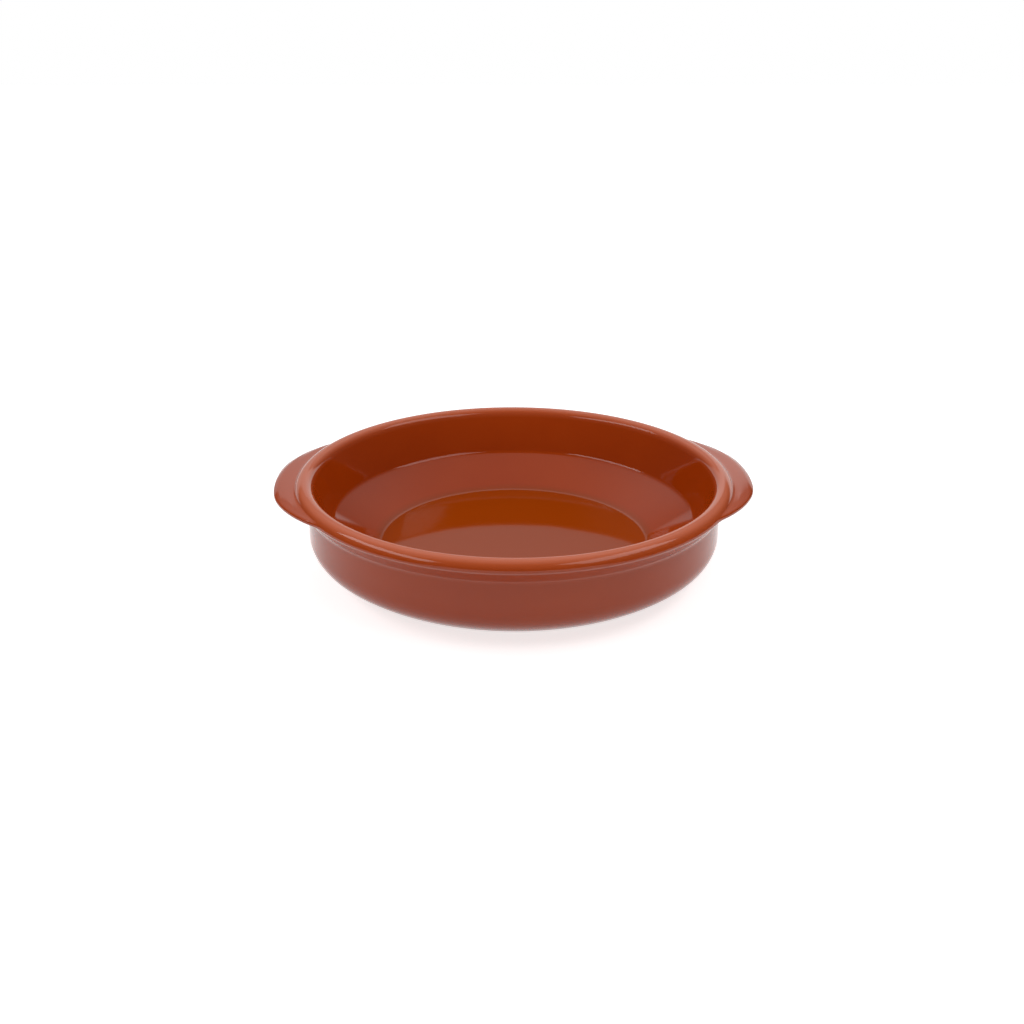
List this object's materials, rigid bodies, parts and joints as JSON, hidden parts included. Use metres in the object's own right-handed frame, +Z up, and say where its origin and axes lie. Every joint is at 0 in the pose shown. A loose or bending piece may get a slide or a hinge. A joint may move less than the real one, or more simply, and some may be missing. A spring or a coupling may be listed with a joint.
{
  "type": "cazuela dish",
  "caption": "Round glazed clay cazuela with a rolled rim and crescent lugs at the sides, for baking and serving food.",
  "frame": {"origin": "centre of the flat base, on the surface that the dish stands on", "axes": "+Z up through the mouth, +X through one lug, +Y square to the lugs"},
  "size_m": [0.218, 0.2, 0.0425],
  "materials": {
    "glaze": "gloss"
  },
  "bodies": {
    "root": {"cazuela": "glaze"}
  },
  "joints": []
}
